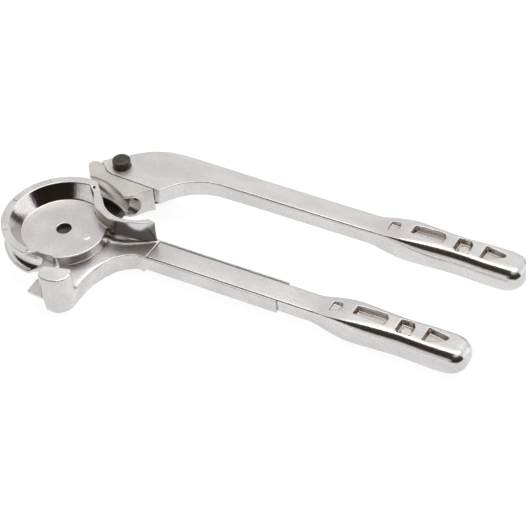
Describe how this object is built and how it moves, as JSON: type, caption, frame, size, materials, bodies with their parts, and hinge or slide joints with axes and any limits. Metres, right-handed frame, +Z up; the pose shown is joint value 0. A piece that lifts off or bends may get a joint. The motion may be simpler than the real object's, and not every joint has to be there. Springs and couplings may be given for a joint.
{
  "type": "hand tube bender",
  "caption": "Lever tube bender: grooved forming wheel and tube post on a fixed handle, with a sliding-contact shoe on a swing handle that turns about the wheel.",
  "frame": {"origin": "on the wheel's pivot axis, at the plane that the tool rests on", "axes": "+X along the fixed handle towards its grip, +Z up along the pivot axis, +Y towards the swing handle in its closed pose"},
  "size_m": [0.35, 0.152, 0.0379],
  "materials": {
    "wheel_cast": "nickel-plated casting, satin",
    "head_cast": "nickel-plated casting, satin",
    "post_cast": "nickel-plated casting, satin",
    "handle_cast": "nickel-plated casting, satin",
    "shoe_cast": "nickel-plated casting, satin",
    "plate_steel": "plated steel plate",
    "black_steel": "black oxide steel",
    "screw_steel": "black oxide screws",
    "washer_steel": "bright spring steel",
    "bronze": "plain bearing bronze"
  },
  "bodies": {
    "frame": {"forming_wheel": "wheel_cast", "fixed_head": "head_cast", "seat_plate": "plate_steel", "tube_post": "post_cast", "fixed_handle": "handle_cast", "pivot_pin": "black_steel", "pivot_washer": "washer_steel", "pivot_circlip": "washer_steel", "wheel_dowel_1": "washer_steel", "wheel_dowel_2": "washer_steel", "wheel_screw_1": "screw_steel", "wheel_screw_2": "screw_steel", "post_screw_1": "screw_steel", "post_screw_2": "screw_steel", "socket_screw_1": "screw_steel", "socket_screw_2": "screw_steel"},
    "swing": {"swing_handle": "handle_cast", "link_plate": "black_steel", "spacer_block": "plate_steel", "link_screw_1": "screw_steel", "link_screw_2": "screw_steel", "link_screw_3": "screw_steel", "pivot_bush": "bronze", "handle_bush": "bronze"},
    "shoe": {"forming_shoe": "shoe_cast", "shoe_bush": "bronze"},
    "pin": {"release_pin": "black_steel"}
  },
  "joints": [
    {"name": "swing_hinge", "type": "hinge", "parent": "frame", "child": "swing", "pos_m": [0, 0, 0.006], "axis": [0, 0, 1], "range_deg": [-6, 176]},
    {"name": "shoe_rock", "type": "hinge", "parent": "swing", "child": "shoe", "pos_m": [0.0094, 0.063, 0.02], "axis": [0, 0, 1], "range_deg": [-1.5, 0.2]},
    {"name": "pin_lift", "type": "slide", "parent": "swing", "child": "pin", "axis": [0, 0, 1], "range_m": [0, 0.03]}
  ]
}
